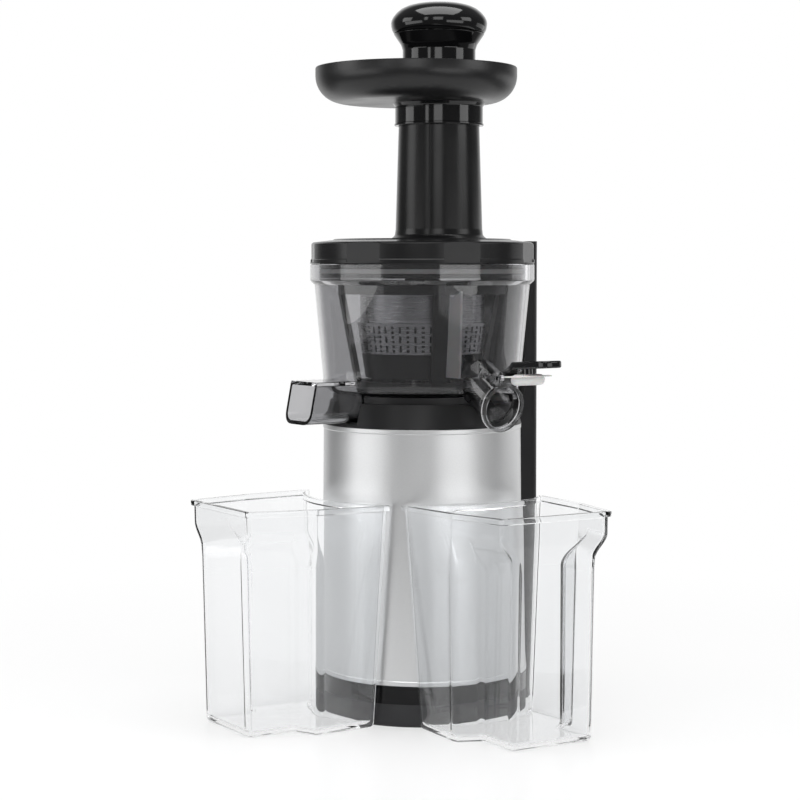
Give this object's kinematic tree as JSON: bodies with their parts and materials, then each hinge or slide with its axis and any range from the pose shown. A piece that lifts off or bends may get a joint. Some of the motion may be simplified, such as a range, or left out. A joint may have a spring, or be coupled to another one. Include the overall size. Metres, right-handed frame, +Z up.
{
  "type": "cold press juicer",
  "caption": "Upright slow juicer with clear bowl, strainer, auger and wiping brush, lid with feed tube, food tray and pusher, capped spout and two catch jugs.",
  "frame": {"origin": "on the floor under the auger's axis, at the middle of the foot ring", "axes": "+Z up along the auger's axis, +X towards the juice spout, -Y towards the pulp chute, +Y towards the spine"},
  "size_m": [0.2056, 0.2149, 0.4295],
  "materials": {
    "satin_black": "satin",
    "gloss_black": "polished",
    "silver_body": "satin",
    "smoke_clear": "polished",
    "clear_jug": "polished",
    "steel": "brushed",
    "bright_steel": "polished",
    "cast_alloy": "cast",
    "lamination": "lacquered",
    "copper": "enamelled",
    "white_silicone": "soft",
    "grey_silicone": "soft",
    "black_rubber": "matt",
    "inner_plastic": "moulded",
    "nylon": "moulded",
    "grey_plastic": "satin",
    "bronze": "sintered",
    "magnet": "plated"
  },
  "bodies": {
    "base": {"foot_ring": "satin_black", "bottom_plate": "inner_plastic", "rubber_feet": "black_rubber", "base_screws": "bright_steel", "trim_ring": "gloss_black", "body_shell": "silver_body", "motor_lower_bracket": "cast_alloy", "motor_upper_bracket": "cast_alloy", "motor_mounts": "black_rubber", "stator_core": "lamination", "stator_windings": "copper", "motor_bearings": "bright_steel", "motor_bolts": "bright_steel", "run_capacitor": "inner_plastic", "gearbox_housing": "inner_plastic", "gearbox_cover": "inner_plastic", "gearbox_screws": "bright_steel", "layshaft_pin": "steel", "drive_bearings": "bright_steel", "bowl_seat": "satin_black", "seat_screws": "bright_steel", "spine_shell": "satin_black", "spine_cover": "satin_black", "spine_screws": "bright_steel", "switch_housing": "gloss_black", "lid_sensor": "inner_plastic", "cord_gland": "black_rubber"},
    "drive": {"drive_shaft": "steel", "output_gear": "nylon"},
    "layshaft": {"layshaft_gear": "nylon", "layshaft_pinion": "bronze"},
    "rotor": {"rotor_core": "lamination", "motor_shaft": "steel", "cooling_fan": "inner_plastic", "motor_pinion": "bronze"},
    "bowl": {"bowl": "smoke_clear", "shaft_seal": "grey_silicone", "pulp_flap": "grey_silicone", "cap_hinge_pin": "bright_steel", "strainer_frame": "satin_black", "strainer_drum": "steel", "strainer_mesh": "steel"},
    "auger": {"auger": "grey_plastic", "auger_socket": "steel"},
    "brush": {"brush_frame": "satin_black", "brush_wipers": "white_silicone"},
    "idler": {"brush_idler": "nylon"},
    "spout_cap": {"spout_lever": "satin_black", "spout_plug": "white_silicone"},
    "lid": {"lid": "satin_black", "lid_gasket": "grey_silicone", "auger_bush": "nylon", "lid_magnet": "magnet"},
    "tray": {"tray": "satin_black", "tray_socket": "gloss_black"},
    "pusher": {"pusher_body": "satin_black", "pusher_cap": "gloss_black"},
    "rocker": {"switch_rocker": "gloss_black"},
    "juice_jug": {"juice_jug": "clear_jug"},
    "pulp_jug": {"pulp_jug": "clear_jug"}
  },
  "joints": [
    {"name": "drive_spin", "type": "hinge", "parent": "base", "child": "drive", "pos_m": [0, 0, 0.18], "axis": [0, 0, 1], "continuous": true},
    {"name": "layshaft_spin", "type": "hinge", "parent": "base", "child": "layshaft", "pos_m": [-0.027, 0, 0.12], "axis": [0, 0, 1], "continuous": true},
    {"name": "rotor_spin", "type": "hinge", "parent": "base", "child": "rotor", "pos_m": [0, 0, 0.06], "axis": [0, 0, 1], "continuous": true},
    {"name": "bowl_lift", "type": "slide", "parent": "base", "child": "bowl", "axis": [0, 0, 1], "range_m": [0, 0.08]},
    {"name": "auger_spin", "type": "hinge", "parent": "bowl", "child": "auger", "pos_m": [0, 0, 0.23], "axis": [0, 0, 1], "continuous": true},
    {"name": "brush_spin", "type": "hinge", "parent": "bowl", "child": "brush", "pos_m": [0, 0, 0.2], "axis": [0, 0, 1], "continuous": true},
    {"name": "idler_spin", "type": "hinge", "parent": "bowl", "child": "idler", "pos_m": [0, 0.0228, 0.198], "axis": [0, 0, 1], "continuous": true},
    {"name": "cap_swing", "type": "hinge", "parent": "bowl", "child": "spout_cap", "pos_m": [0.085, 0, 0.2054], "axis": [0, 1, 0], "range_deg": [0, 105.5]},
    {"name": "lid_lift", "type": "slide", "parent": "bowl", "child": "lid", "axis": [0, 0, 1], "range_m": [0, 0.1]},
    {"name": "tray_lift", "type": "slide", "parent": "lid", "child": "tray", "axis": [0, 0, 1], "range_m": [0, 0.06]},
    {"name": "pusher_slide", "type": "slide", "parent": "tray", "child": "pusher", "axis": [0, 0, 1], "range_m": [-0.03, 0.11]},
    {"name": "switch_rock", "type": "hinge", "parent": "base", "child": "rocker", "pos_m": [0, 0.07, 0.15], "axis": [1, 0, 0], "range_deg": [-10, 10]},
    {"name": "juice_jug_pull", "type": "slide", "parent": "base", "child": "juice_jug", "axis": [0.9982, -0.0593, 0], "range_m": [0, 0.12]},
    {"name": "pulp_jug_pull", "type": "slide", "parent": "base", "child": "pulp_jug", "axis": [-0.0645, -0.9979, 0], "range_m": [0, 0.12]}
  ],
  "couplings": [
    {"joint": "layshaft_spin", "follows": "drive_spin", "ratio": -4},
    {"joint": "rotor_spin", "follows": "drive_spin", "ratio": 16},
    {"joint": "auger_spin", "follows": "drive_spin", "ratio": 1},
    {"joint": "brush_spin", "follows": "drive_spin", "ratio": -0.33333},
    {"joint": "idler_spin", "follows": "drive_spin", "ratio": -1}
  ]
}
